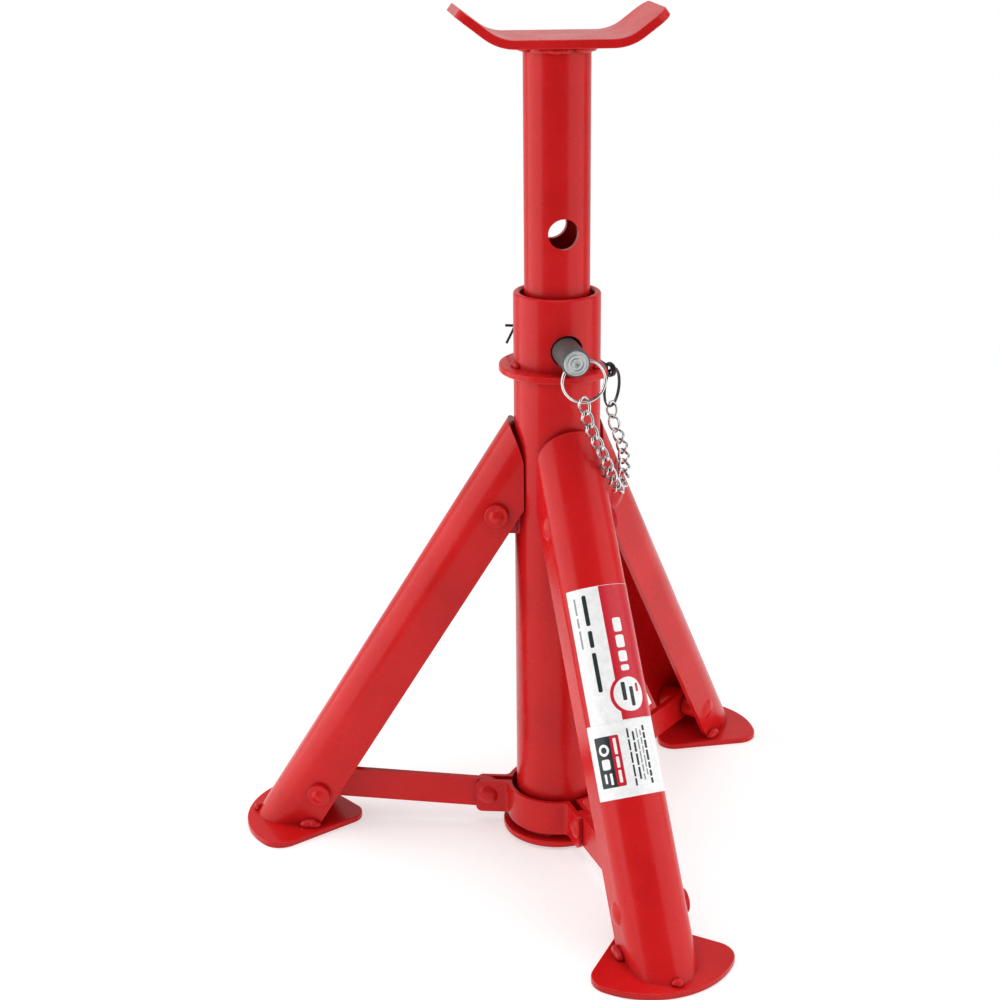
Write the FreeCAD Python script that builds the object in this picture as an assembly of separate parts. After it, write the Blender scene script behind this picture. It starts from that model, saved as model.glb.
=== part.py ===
import FreeCAD, Part
import math
import os

# Folding three-legged axle stand, millimetres, +Z up.
# Origin: on the column axis, on the plane the three feet stand on.
# The front leg points along -Y (azimuth 0); azimuths grow towards +X.

V = FreeCAD.Vector
os.makedirs("parts", exist_ok=True)

# ---------------------------------------------------------------- dimensions
AZ = {"front": 0.0, "left": -113.5, "right": 123.5}   # leg azimuths, degrees
AZ_PIN = -7.9            # direction the lock pin sticks out
AZ_SADDLE = -11.5        # the saddle's short axis

TUBE_OD, TUBE_WALL = 38.0, 2.9
TUBE_Z0, TUBE_Z1 = 1.0, 259.7
FLANGE_R, FLANGE_T = 25.4, 3.0
UP_FLANGE_Z = 224.8
FLANGE_FLAT = 19.7       # the upper flange is cut flat at this distance, right side

POST_OD, POST_WALL = 28.4, 2.5
POST_Z0, POST_Z1 = 118.0, 363.0
HOLE_D, HOLE_PITCH = 13.0, 49.2
TUBE_BORE, AZ_BORE = 14.0, -6.6
PIN_Z = 237.4
PIN_D, PIN_S0, PIN_S1 = 12.0, -31.5, 38.0
RING_HOLE_S, CLIP_HOLE_S = 34.0, -26.5

SAD_FLAT, SAD_T, SAD_HALF, SAD_RISE, SAD_DEPTH = 27.0, 3.7, 43.8, 12.6, 44.0

RH, ZH = 25.8, 161.4     # leg hinge: radius and height
RL, ZL = 111.4, 19.5     # link rivet on the leg
CH_HALF, CH_WALL = 14.5, 2.5
CH_BACK_C, CH_OPEN = 3.5, -9.0    # centre of the rounded back, open edge
RIVET_D, HEAD_D, HEAD_H = 8.0, 10.6, 1.7
FOOT_T = 2.6
FOOT_APEX, FOOT_C, FOOT_R, FOOT_SLOPE = 90.2, 110.8, 38.0, 42.5

COLLAR_RI, COLLAR_RO, COLLAR_Z0, COLLAR_Z1 = 21.4, 23.3, 6.8, 23.0
LUG_IN, LUG_T, LUG_R = 1.7, 1.9, 38.4
CR, CZ = 32.8, 15.6      # collar pivot
CRIVET_D = 6.0
LINK_T, LINK_H = 3.0, 14.6

LABEL_U0, LABEL_U1, LABEL_A0, LABEL_A1, LABEL_T = 30.2, 119.3, -84.0, 74.0, 0.2

ALPHA = math.radians(31.428)    # lean of the legs
SA, CA = math.sin(ALPHA), math.cos(ALPHA)


# ---------------------------------------------------------------- helpers
def save(name, shape):
    solids = shape.Solids
    shape = solids[0] if len(solids) == 1 else Part.makeCompound(solids)
    for s in solids:
        if not s.isValid() or s.Volume <= 0:
            print("BAD SOLID", name)
    shape.exportStep("parts/%s.step" % name)
    b = shape.BoundBox
    print("%-24s solids %d vol %.0f  x %.1f %.1f y %.1f %.1f z %.1f %.1f" % (
        name, len(solids), shape.Volume, b.XMin, b.XMax, b.YMin, b.YMax, b.ZMin, b.ZMax))


def turn(shape, az):
    s = shape.copy()
    s.rotate(V(0, 0, 0), V(0, 0, 1), az)
    return s


def lp(r, w, z):
    """Point in the plane of the front leg: radius, sideways, height."""
    return V(w, -r, z)


def uvw(u, v, w):
    """Point in leg coordinates: down the leg, outwards, sideways."""
    return lp(RH + u * SA + v * CA, w, ZH - u * CA + v * SA)


def prism_rz(pts, w0, w1):
    q = [lp(r, w0, z) for r, z in pts]
    face = Part.Face(Part.makePolygon(q + [q[0]]))
    return face.extrude(V(w1 - w0, 0, 0))


def cyl_w(r, z, rad, w0, w1):
    return Part.makeCylinder(rad, w1 - w0, lp(r, w0, z), V(1, 0, 0))


def dome(r, z, w, side, rad, h):
    """Low round rivet head standing on the plane at w, pointing to side."""
    R = (rad * rad + h * h) / (2 * h)
    ball = Part.makeSphere(R, V(0, 0, 0))
    ball.translate(lp(r, w + side * (h - R), z))
    box = Part.makeCylinder(rad + 5, 3 * R, lp(r, w, z), V(side, 0, 0))
    head = ball.common(box)
    return head


def pinframe(s, x, z, az=AZ_PIN):
    a = math.radians(az)
    d = V(math.sin(a), -math.cos(a), 0)
    t = V(math.cos(a), math.sin(a), 0)
    return d * s + t * x + V(0, 0, z)


def pindir(s, x, z, az=AZ_PIN):
    v = pinframe(s, x, z, az)
    v.normalize()
    return v


def rod(p0, p1, r, ends=True):
    d = p1 - p0
    s = Part.makeCylinder(r, d.Length, p0, d)
    if ends:
        s = s.fuse([Part.makeSphere(r, p0), Part.makeSphere(r, p1)])
    return s


# ---------------------------------------------------------------- column
d_pin, t_pin = pindir(1, 0, 0), pindir(0, 1, 0)

tube = Part.makeCylinder(TUBE_OD / 2, TUBE_Z1 - TUBE_Z0, V(0, 0, TUBE_Z0))
tube = tube.cut(Part.makeCylinder(TUBE_OD / 2 - TUBE_WALL, 400, V(0, 0, -10)))
rim = [e for e in tube.Edges if abs(e.BoundBox.ZMin - TUBE_Z1) < 1e-3 and abs(e.BoundBox.ZMax - TUBE_Z1) < 1e-3]
tube = tube.makeFillet(1.2, rim)
tube = tube.cut(Part.makeCylinder(TUBE_BORE / 2, 100, pinframe(-50, 0, PIN_Z, AZ_BORE), pindir(1, 0, 0, AZ_BORE)))
save("centre_tube", tube)


def flange(z):
    f = Part.makeCylinder(FLANGE_R, FLANGE_T, V(0, 0, z))
    ed = [e for e in f.Edges if e.Length > 100]
    f = f.makeFillet(0.6, ed)
    return f.cut(Part.makeCylinder(TUBE_OD / 2, 50, V(0, 0, z - 20)))


up = flange(UP_FLANGE_Z)
flat = Part.makeBox(30, 80, 20, V(FLANGE_FLAT, -40, UP_FLANGE_Z - 8))
flat.rotate(V(0, 0, 0), V(0, 0, 1), -12)
save("upper_flange", up.cut(flat))
save("lower_flange", flange(TUBE_Z0))

# hinge brackets: two cheeks and a web, welded to the tube
BR_IN, BR_OUT = 7.0, 10.0
for n, a in AZ.items():
    tubec = Part.makeCylinder(TUBE_OD / 2, 60, V(0, 0, ZH - 30))
    cheeks = []
    for s in (-1, 1):
        w0, w1 = (BR_IN, BR_OUT) if s > 0 else (-BR_OUT, -BR_IN)
        c = prism_rz([(12, ZH - 11), (RH, ZH - 8), (RH, ZH + 8), (12, ZH + 11)], w0, w1)
        c = c.fuse(cyl_w(RH, ZH, 8.0, w0, w1))
        cheeks.append(c)
    web = prism_rz([(14, ZH - 10), (21.6, ZH - 10), (21.6, ZH + 10), (14, ZH + 10)], -BR_OUT, BR_OUT)
    b = cheeks[0].fuse([cheeks[1], web]).cut(tubec)
    b = b.cut(cyl_w(RH, ZH, RIVET_D / 2 + 0.05, -20, 20))
    b = b.cut(cyl_w(RH, ZH, RIVET_D / 2 + 0.6, -BR_IN + 0.01, BR_IN - 0.01))
    save("hinge_bracket_" + n, turn(b.removeSplitter(), a))

# ---------------------------------------------------------------- post and saddle
post = Part.makeCylinder(POST_OD / 2, POST_Z1 - POST_Z0, V(0, 0, POST_Z0))
post = post.cut(Part.makeCylinder(POST_OD / 2 - POST_WALL, 400, V(0, 0, 0)))
for k in (1, 0, -1, -2):
    z = PIN_Z + k * HOLE_PITCH
    post = post.cut(Part.makeCylinder(HOLE_D / 2, 100, pinframe(-50, 0, z), d_pin))
save("inner_post", post)

ang = math.atan2(SAD_RISE, SAD_HALF - SAD_FLAT)
nx, nz = -math.sin(ang), math.cos(ang)
RB = 18.0                                 # inside bend radius under the ear


def saddle_face():
    """Bent strip profile in (x, z), lower face first."""
    z0 = POST_Z1
    tl = RB * math.tan(ang / 2)
    half = []
    # bend centre lies above the plate
    cx = SAD_FLAT - tl * 1.0
    cz = z0 + RB + SAD_T
    ro, ri = RB + SAD_T, RB
    tlo = ro * math.tan(ang / 2)
    x_in = SAD_FLAT - tlo
    e0 = (x_in + ro * math.sin(ang), cz - ro * math.cos(ang))
    em = (x_in + ro * math.sin(ang / 2), cz - ro * math.cos(ang / 2))
    tip = (SAD_HALF, z0 + SAD_RISE)
    i0 = (x_in + ri * math.sin(ang), cz - ri * math.cos(ang))
    im = (x_in + ri * math.sin(ang / 2), cz - ri * math.cos(ang / 2))
    tipi = (tip[0] + nx * SAD_T, tip[1] + nz * SAD_T)
    fl, fu = (x_in, z0), (x_in, z0 + SAD_T)

    def P(q, s=1):
        return V(s * q[0], 0, q[1])
    E = []
    for a, b in (((-1, fl), (1, fl)),):
        E.append(Part.LineSegment(P(fl, -1), P(fl, 1)).toShape())
    E.append(Part.Arc(P(fl), P(em), P(e0)).toShape())
    E.append(Part.LineSegment(P(e0), P(tip)).toShape())
    E.append(Part.LineSegment(P(tip), P(tipi)).toShape())
    E.append(Part.LineSegment(P(tipi), P(i0)).toShape())
    E.append(Part.Arc(P(i0), P(im), P(fu)).toShape())
    E.append(Part.LineSegment(P(fu), P(fu, -1)).toShape())
    E.append(Part.Arc(P(fu, -1), P(im, -1), P(i0, -1)).toShape())
    E.append(Part.LineSegment(P(i0, -1), P(tipi, -1)).toShape())
    E.append(Part.LineSegment(P(tipi, -1), P(tip, -1)).toShape())
    E.append(Part.LineSegment(P(tip, -1), P(e0, -1)).toShape())
    E.append(Part.Arc(P(e0, -1), P(em, -1), P(fl, -1)).toShape())
    return Part.Face(Part.Wire(E))


sad = saddle_face().extrude(V(0, SAD_DEPTH, 0))
sad.translate(V(0, -SAD_DEPTH / 2, 0))
# the four ear corners are clipped round, across the plate
L = math.hypot(SAD_HALF - SAD_FLAT, SAD_RISE)
corner = []
for e in sad.Edges:
    b = e.BoundBox
    if abs(e.Length - SAD_T) < 0.02 and abs(abs((b.XMin + b.XMax) / 2) - (SAD_HALF + nx * SAD_T / 2)) < 0.5:
        corner.append(e)
sad = sad.makeFillet(6.5, corner)
long_e = [e for e in sad.Edges if e.Length > 2.0 and abs(e.Length - SAD_T) > 0.05]
try:
    s2 = sad.makeFillet(0.5, long_e)
    if s2.isValid() and s2.Volume > 0:
        sad = s2
except Exception as ex:
    print("saddle edges left sharp", ex)
save("saddle", turn(sad, AZ_SADDLE))

# ---------------------------------------------------------------- legs


def channel():
    u0, u1 = -52.0, 215.0

    def P(v, w):
        return uvw(u0, v, w)
    hi = CH_HALF - CH_WALL
    rf = 0.9          # softened open edge

    def arc(R, s):
        return Part.Arc(P(CH_BACK_C, s * R), P(CH_BACK_C + R, 0), P(CH_BACK_C, -s * R)).toShape()
    E = [Part.LineSegment(P(CH_OPEN, CH_HALF), P(CH_BACK_C, CH_HALF)).toShape(), arc(CH_HALF, 1),
         Part.LineSegment(P(CH_BACK_C, -CH_HALF), P(CH_OPEN, -CH_HALF)).toShape(),
         Part.LineSegment(P(CH_OPEN, -CH_HALF), P(CH_OPEN, -hi)).toShape(),
         Part.LineSegment(P(CH_OPEN, -hi), P(CH_BACK_C, -hi)).toShape(),
         arc(hi, -1),
         Part.LineSegment(P(CH_BACK_C, hi), P(CH_OPEN, hi)).toShape(),
         Part.LineSegment(P(CH_OPEN, hi), P(CH_OPEN, CH_HALF)).toShape()]
    s = Part.Face(Part.Wire(E)).extrude(uvw(u1, 0, 0) - uvw(u0, 0, 0))
    # top end: leaning cut that bears on the tube, coped round it, lower corner clipped
    k = [(22.2, 203.1), (17.0, 195.0), (13.8, 185.6)]
    c = Part.Arc(lp(k[0][0], -40, k[0][1]), lp(k[1][0], -40, k[1][1]), lp(k[2][0], -40, k[2][1]))
    rest = [k[-1], (13.8, 163), (18.6, 154.5), (12, 130), (-30, 130), (-30, 270), (60, 270), (30, 215), k[0]]
    w = [c.toShape()] + [Part.LineSegment(lp(a[0], -40, a[1]), lp(b[0], -40, b[1])).toShape() for a, b in zip(rest, rest[1:])]
    s = s.cut(Part.Face(Part.Wire(w)).extrude(V(80, 0, 0)))
    s = s.cut(Part.makeCylinder(TUBE_OD / 2 + 0.35, 300, V(0, 0, 20)))
    # bottom end: cut level on the foot plate
    s = s.cut(prism_rz([(40, FOOT_T), (260, FOOT_T), (260, -80), (40, -80)], -40, 40))
    s = s.cut(cyl_w(RH, ZH, RIVET_D / 2, -30, 30))
    s = s.cut(cyl_w(RL, ZL, RIVET_D / 2, -30, 30))
    return s


def foot():
    # a rounded right-angled corner towards the column, a circular arc outwards
    q = [lp(FOOT_APEX, 0, 0), lp(FOOT_APEX + 80, 80 * math.tan(math.radians(FOOT_SLOPE)), 0),
         lp(FOOT_APEX + 80, -80 * math.tan(math.radians(FOOT_SLOPE)), 0)]
    wedge = Part.Face(Part.makePolygon(q + [q[0]])).extrude(V(0, 0, FOOT_T))
    f = wedge.common(Part.makeCylinder(FOOT_R, FOOT_T, lp(FOOT_C, 0, 0)))
    vert = [e for e in f.Edges if abs(e.Length - FOOT_T) < 1e-3 and e.BoundBox.ZLength > FOOT_T - 0.01]
    apex = [e for e in vert if abs(e.BoundBox.YMax + FOOT_APEX) < 0.5]
    side = [e for e in vert if abs(e.BoundBox.YMax + FOOT_APEX) >= 0.5]
    f = f.makeFillet(8.0, apex)
    vert = [e for e in f.Edges if e.BoundBox.ZLength > FOOT_T - 0.01 and abs(e.BoundBox.XMin) > 25]
    f = f.makeFillet(10.0, vert)
    top = [e for e in f.Edges if e.BoundBox.ZLength < 1e-4 and e.BoundBox.ZMin > FOOT_T - 0.01]
    try:
        g = f.makeFillet(0.6, top)
        if g.isValid():
            f = g
    except Exception as ex:
        print("foot edges left sharp", ex)
    return f


def head(r, z, w, side, rad, h):
    """Low dome on the side of -w; on the side of +w a taller set end: a disc with a dome on it."""
    if side < 0 or rad < 5:
        return dome(r, z, w, side, rad, h)
    disc = Part.makeCylinder(rad, 2.6, lp(r, w, z), V(side, 0, 0))
    disc = disc.makeFillet(0.5, [e for e in disc.Edges if abs(e.Length - 2 * math.pi * rad) < 0.1 and abs(e.BoundBox.XMin - w - side * 2.6) < 0.01])
    top = dome(r, z, w + side * 2.59, side, rad * 0.62, 1.6)
    return disc.fuse(top)


def through_rivet(r, z, half, w_in, head_r, head_h, d):
    """Solid rivet with a head each side; w_in > 0 leaves a gap in the middle (two stubs)."""
    out = []
    if w_in > 0:
        for s in (-1, 1):
            a, b = (w_in, half) if s > 0 else (-half, -w_in)
            out.append(cyl_w(r, z, d / 2, a, b).fuse(head(r, z, s * half, s, head_r, head_h)))
        return Part.makeCompound(out)
    return cyl_w(r, z, d / 2, -half, half).fuse([head(r, z, half, 1, head_r, head_h), head(r, z, -half, -1, head_r, head_h)])


GAP = 2.3     # half the free gap that the link bar swings in
ch, ft = channel(), foot()
hinge_rivet = through_rivet(RH, ZH, CH_HALF, 0, HEAD_D / 2, HEAD_H, RIVET_D)
link_rivet = through_rivet(RL, ZL, CH_HALF, GAP, HEAD_D / 2, HEAD_H, RIVET_D)
spacers = []
for s in (-1, 1):
    a, b = (GAP, CH_HALF - CH_WALL - 0.4) if s > 0 else (CH_WALL + 0.4 - CH_HALF, -GAP)
    spacers.append(cyl_w(RL, ZL, 6.0, a, b).cut(cyl_w(RL, ZL, RIVET_D / 2, a - 1, b + 1)))
spacers = Part.makeCompound(spacers)
for n, a in AZ.items():
    save("leg_channel_" + n, turn(ch, a))
    save("foot_plate_" + n, turn(ft, a))
    save("hinge_rivet_" + n, turn(hinge_rivet, a))
    save("link_rivet_" + n, turn(link_rivet, a))
    save("link_spacers_" + n, turn(spacers, a))

# information label on the rounded back of the front leg


def label():
    a0, a1 = math.radians(LABEL_A0), math.radians(LABEL_A1)
    am = (a0 + a1) / 2
    r0, r1 = CH_HALF + 0.002, CH_HALF + LABEL_T

    def P(R, a):
        return uvw(LABEL_U0, CH_BACK_C + R * math.cos(a), R * math.sin(a))
    E = [Part.Arc(P(r1, a0), P(r1, am), P(r1, a1)).toShape(), Part.LineSegment(P(r1, a1), P(r0, a1)).toShape(),
         Part.Arc(P(r0, a1), P(r0, am), P(r0, a0)).toShape(), Part.LineSegment(P(r0, a0), P(r1, a0)).toShape()]
    return Part.Face(Part.Wire(E)).extrude(uvw(LABEL_U1, 0, 0) - uvw(LABEL_U0, 0, 0))


save("info_label", label())

# ---------------------------------------------------------------- link bars
dr, dz = RL - CR, ZL - CZ
LL = math.hypot(dr, dz)
bar = Part.makeBox(LINK_T, LL, LINK_H, V(-LINK_T / 2, -LL, -LINK_H / 2))
bar = bar.fuse([Part.makeCylinder(LINK_H / 2, LINK_T, V(-LINK_T / 2, 0, 0), V(1, 0, 0)),
                Part.makeCylinder(LINK_H / 2, LINK_T, V(-LINK_T / 2, -LL, 0), V(1, 0, 0))]).removeSplitter()
bar = bar.cut(Part.makeCylinder(CRIVET_D / 2 + 0.05, 20, V(-10, 0, 0), V(1, 0, 0)))
bar = bar.cut(Part.makeCylinder(RIVET_D / 2 + 0.15, 20, V(-10, -LL, 0), V(1, 0, 0)))
bar.rotate(V(0, 0, 0), V(1, 0, 0), -math.degrees(math.atan2(dz, dr)))
bar.translate(lp(CR, 0, CZ))
for n, a in AZ.items():
    save("link_bar_" + n, turn(bar, a))

# ---------------------------------------------------------------- sliding collar
order = [("front", "right"), ("right", "left"), ("left", "front")]
H = COLLAR_Z1 - COLLAR_Z0
full = Part.makeCylinder(COLLAR_RO, H, V(0, 0, COLLAR_Z0)).cut(
    Part.makeCylinder(COLLAR_RI, H + 2, V(0, 0, COLLAR_Z0 - 1)))


def lug(side):
    """Lug plate beside the link bar; side is the sign of w."""
    w0, w1 = (LUG_IN, LUG_IN + LUG_T) if side > 0 else (-LUG_IN - LUG_T, -LUG_IN)
    s = prism_rz([(COLLAR_RI, COLLAR_Z0), (LUG_R, COLLAR_Z0), (LUG_R, COLLAR_Z1), (COLLAR_RI, COLLAR_Z1)], w0, w1)
    ed = [e for e in s.Edges if abs(e.Length - LUG_T) < 1e-3 and abs(e.BoundBox.YMin + LUG_R) < 1e-3 and e.BoundBox.XLength > LUG_T - 0.01]
    s = s.makeFillet(3.0, ed)
    s = s.cut(Part.makeCylinder(COLLAR_RI, H + 2, V(0, 0, COLLAR_Z0 - 1)))
    return s.cut(cyl_w(CR, CZ, CRIVET_D / 2, -20, 20))


for i, (na, nb) in enumerate(order):
    a0, a1 = AZ[na], AZ[nb]
    while a1 < a0:
        a1 += 360
    # sector between the two link planes, kept LUG_IN clear of each plane
    big = 60.0
    mid = (a0 + a1) / 2
    pts = [V(0, 0, COLLAR_Z0 - 1)]
    nseg = 12
    for k in range(nseg + 1):
        aa = math.radians(a0 + (a1 - a0) * k / nseg)
        pts.append(V(big * math.sin(aa), -big * math.cos(aa), COLLAR_Z0 - 1))
    sector = Part.Face(Part.makePolygon(pts + [pts[0]])).extrude(V(0, 0, H + 2))
    arc = full.common(sector)
    for n, side in ((na, 1), (nb, -1)):
        w0, w1 = (-5, LUG_IN) if side > 0 else (-LUG_IN, 5)
        trim = Part.makeBox(w1 - w0, 60, H + 4, V(w0, -60, COLLAR_Z0 - 2))
        arc = arc.cut(turn(trim, AZ[n]))
    parts = [turn(lug(1), AZ[na]), turn(lug(-1), AZ[nb])]
    strap = arc.fuse(parts).removeSplitter()
    bend = []
    for e in strap.Edges:
        b = e.BoundBox
        if b.ZLength > H - 0.01 and b.XLength < 1e-3 and b.YLength < 1e-3:
            for n, side in ((na, 1), (nb, -1)):
                q = turn(Part.Vertex(V(b.XMin, b.YMin, 0)), -AZ[n]).Point
                if abs(q.x - side * (LUG_IN + LUG_T)) < 0.05 and 20 < -q.y < COLLAR_RO + 0.3:
                    bend.append(e)
    try:
        s2 = strap.makeFillet(3.0, bend)
        if s2.isValid() and len(s2.Solids) == 1 and len(bend) == 2:
            strap = s2
    except Exception as ex:
        print("strap bends left sharp", ex)
    print("strap bends", len(bend))
    strap = strap.cut([turn(cyl_w(CR, CZ, CRIVET_D / 2, -20, 20), AZ[na]), turn(cyl_w(CR, CZ, CRIVET_D / 2, -20, 20), AZ[nb])])
    save("collar_strap_%d" % (i + 1), strap)

crivet = through_rivet(CR, CZ, LUG_IN + LUG_T, 0, 4.8, 1.9, CRIVET_D)
for n, a in AZ.items():
    save("collar_rivet_" + n, turn(crivet, a))

# ---------------------------------------------------------------- lock pin
pin = Part.makeCylinder(PIN_D / 2, PIN_S1 - PIN_S0, pinframe(PIN_S0, 0, PIN_Z), d_pin)
ends = [e for e in pin.Edges if abs(e.Length - math.pi * PIN_D) < 0.01]
pin = pin.makeChamfer(0.9, ends)
hole_dir = pindir(0, 0.906, 0.423)
RING_R, RING_W = 9.25, 0.85
ring_c = pinframe(RING_HOLE_S, 4.1, PIN_Z - 8.9)
h0 = pinframe(RING_HOLE_S, 0, PIN_Z)
off = ring_c - h0
pull = h0 + off * ((off.Length - RING_R + 0.75) / off.Length)
pin = pin.cut(Part.makeCylinder(2.6, 40, pull - hole_dir * 20, hole_dir))
# retaining clip: leans down to the right
CLIP_A = math.radians(36)
cdir = pindir(0, math.cos(CLIP_A), -math.sin(CLIP_A))
cup = pindir(0, math.sin(CLIP_A), math.cos(CLIP_A))
c0 = pinframe(CLIP_HOLE_S, 0, PIN_Z)
pin = pin.cut(Part.makeCylinder(1.75, 40, c0 - cdir * 20, cdir))
dim = Part.makeCone(1.9, 0.2, 1.3, pinframe(PIN_S1, 0, PIN_Z), d_pin * -1)
pin = pin.cut(dim)
save("lock_pin", pin)

ring = Part.makeTorus(RING_R, RING_W, ring_c, d_pin)
save("pin_ring", ring)

# retaining clip: round shank, two-turn eye on the right, two tips spread on the left
EYE_S = 35.4
eye_c = c0 + cdir * (EYE_S + 1.5)
eye_hook = eye_c + cdir * 0.9
EYE_R, EYE_W, EYE_P = 2.75, 0.7, 1.25
n2 = pindir(0.60, 0.80, 0)
e2 = V(0, 0, 1).cross(n2)
ea = math.radians(-24)
eye_ax = V(e2.x * math.cos(ea) - e2.y * math.sin(ea), e2.x * math.sin(ea) + e2.y * math.cos(ea), 0.1)
eye_ax.normalize()
eye_m = eye_hook - cdir * 0.4
shank = Part.makeCylinder(1.5, EYE_S - 0.35 + 8.2, c0 - cdir * 8.2, cdir)
bits = [Part.makeTorus(EYE_R, EYE_W, eye_m + eye_ax * (k * EYE_P / 2), eye_ax) for k in (-1, 1)]
tipb = c0 - cdir * 7.8
k1 = c0 + pinframe(0, -13.4, 0.92)
t1 = c0 + pinframe(0, -17.85, 1.25)
t2 = c0 + pinframe(0, -17.4, -6.97)
bits.append(rod(tipb, k1, 0.66, False))
bits.append(rod(k1, t1, 0.6, False))
bits.append(rod(k1, t2, 0.57, False))
bits.append(Part.makeSphere(0.8, k1))
clip = shank
for b in bits:
    clip = clip.fuse(b)
print("clip solids", len(clip.Solids), "reach", round(clip.BoundBox.XMax, 2))
save("retaining_clip", clip)

# ring through the clip's eye
R2, W2 = 8.9, 0.75
ring2_c = eye_hook + V(0, 0, -1) * (R2 * 0.955) + e2 * (R2 * 0.05)
ring2_c = eye_hook + (V(0, 0, -0.97) + e2 * 0.2) * R2
save("clip_ring", Part.makeTorus(R2, W2, ring2_c, n2))

# ---------------------------------------------------------------- tether chain
LI, WI, DW = 6.8, 3.1, 1.5


def chain_link(c, t, w):
    n = t.cross(w)
    n.normalize()
    w = n.cross(t)
    R = (WI + DW) / 2
    st = (LI - WI) / 2
    out = []
    for s in (-1, 1):
        p0 = c - t * st + w * s * R
        out.append(Part.makeCylinder(DW / 2, 2 * st, p0, t))
        h = Part.makeTorus(R, DW / 2, V(0, 0, 0), V(0, 0, 1), -180, 180, 180)
        rot = FreeCAD.Rotation(w * s, t * s, w.cross(t), "XYZ")
        h.Placement = FreeCAD.Placement(c + t * (s * st), rot)
        out.append(h)
    sh = out[0].fuse(out[1:]).removeSplitter()
    return sh


A = ring_c - V(0, 0, RING_R)
B = ring2_c - V(0, 0, R2)
pb = B.dot(t_pin)
sb = B.dot(d_pin)
way = [A, pinframe(32.5, 7.8, 206), pinframe(28.8, 14.0, 193), pinframe(23.5, 19.5, 181.0), pinframe(17.0, 23.8, 173.6),
       pinframe(8.5, 27.4, 171.4), pinframe(-1.0, 31.0, 173.8), pinframe(-10.0, 33.3, 178.2),
       pinframe(-19.0, 34.0, 183.2), pinframe(-26.0, 32.8, 188.6), B]
spl = Part.BSplineCurve()
spl.interpolate(way)
edge = spl.toShape()
Ltot = edge.Length
hookA, hookB = LI / 2 - 1.8, LI / 2 - 1.45
N = int(round((Ltot - hookA - hookB) / 6.5)) + 1
pitch = (Ltot - hookA - hookB) / (N - 1)
print("chain length", Ltot, "links", N, "pitch", pitch)
frames = []
wdir = d_pin
for i in range(N):
    q = spl.parameterAtDistance(hookA + i * pitch, spl.FirstParameter)
    c = spl.value(q)
    t = spl.tangent(q)[0]
    wdir = wdir - t * wdir.dot(t)
    wdir.normalize()
    frames.append((c, t, V(wdir)))
# spread the twist so that the last link stands square to the ring it hangs on
c, t, w = frames[-1]
have = w if (N - 1) % 2 == 0 else t.cross(w)
want = n2 - t * n2.dot(t)
want.normalize()
twist = math.atan2(have.cross(want).dot(t), have.dot(want))
if twist > math.pi / 2:
    twist -= math.pi
if twist < -math.pi / 2:
    twist += math.pi
links = []
for i, (c, t, w) in enumerate(frames):
    a = twist * i / (N - 1) + (math.pi / 2 if i % 2 else 0)
    links.append(chain_link(c, t, w * math.cos(a) + t.cross(w) * math.sin(a)))
save("tether_chain", Part.makeCompound(links))
print("ring_c", ring_c, "pull", pull, "eye_hook", eye_hook, "ring2_c", ring2_c, "leg", math.degrees(ALPHA))
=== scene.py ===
import bpy
import bmesh
import math
import random
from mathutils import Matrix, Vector, noise


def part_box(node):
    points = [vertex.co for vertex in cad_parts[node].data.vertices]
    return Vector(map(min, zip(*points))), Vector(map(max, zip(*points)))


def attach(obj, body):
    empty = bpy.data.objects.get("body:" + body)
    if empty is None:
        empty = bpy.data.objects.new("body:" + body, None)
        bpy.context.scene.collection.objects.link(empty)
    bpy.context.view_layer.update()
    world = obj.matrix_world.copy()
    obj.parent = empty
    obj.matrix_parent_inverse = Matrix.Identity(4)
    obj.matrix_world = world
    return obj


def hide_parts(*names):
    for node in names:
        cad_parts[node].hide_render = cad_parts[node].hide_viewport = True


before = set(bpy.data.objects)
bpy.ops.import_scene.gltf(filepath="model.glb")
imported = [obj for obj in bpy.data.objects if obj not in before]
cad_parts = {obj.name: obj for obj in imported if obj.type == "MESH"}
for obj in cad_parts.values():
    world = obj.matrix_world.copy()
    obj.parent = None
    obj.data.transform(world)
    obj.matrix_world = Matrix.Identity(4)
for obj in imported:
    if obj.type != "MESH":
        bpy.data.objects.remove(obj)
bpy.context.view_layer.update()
scene = bpy.context.scene
MM = 0.001
V = Vector

# ------------------------------------------------------------------ the stand's own frame
AZ = {"front": 0.0, "left": -113.5, "right": 123.5}
AZ_PIN, AZ_SADDLE = -7.9, -11.5
RH, ZH, RL, ZL = 25.8, 161.4, 111.4, 19.5
ALPHA = math.radians(31.428)
SA, CA = math.sin(ALPHA), math.cos(ALPHA)
CH_HALF, CH_WALL, CH_C, CH_OPEN = 14.5, 2.5, 3.5, -9.0
FOOT_T = 2.6


def turned(p, az):
    a = math.radians(az)
    c, s = math.cos(a), math.sin(a)
    return V((p[0] * c - p[1] * s, p[0] * s + p[1] * c, p[2]))


def lp(r, w, z, az=0.0):
    """Point at radius r, sideways w and height z of the leg at that azimuth, in metres."""
    return turned((w, -r, z), az) * MM


def uvw(u, v, w, az=0.0):
    return lp(RH + u * SA + v * CA, w, ZH - u * CA + v * SA, az)


def pinf(s, x, z, az=AZ_PIN):
    a = math.radians(az)
    return V((math.sin(a) * s + math.cos(a) * x, -math.cos(a) * s + math.sin(a) * x, z)) * MM


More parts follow.
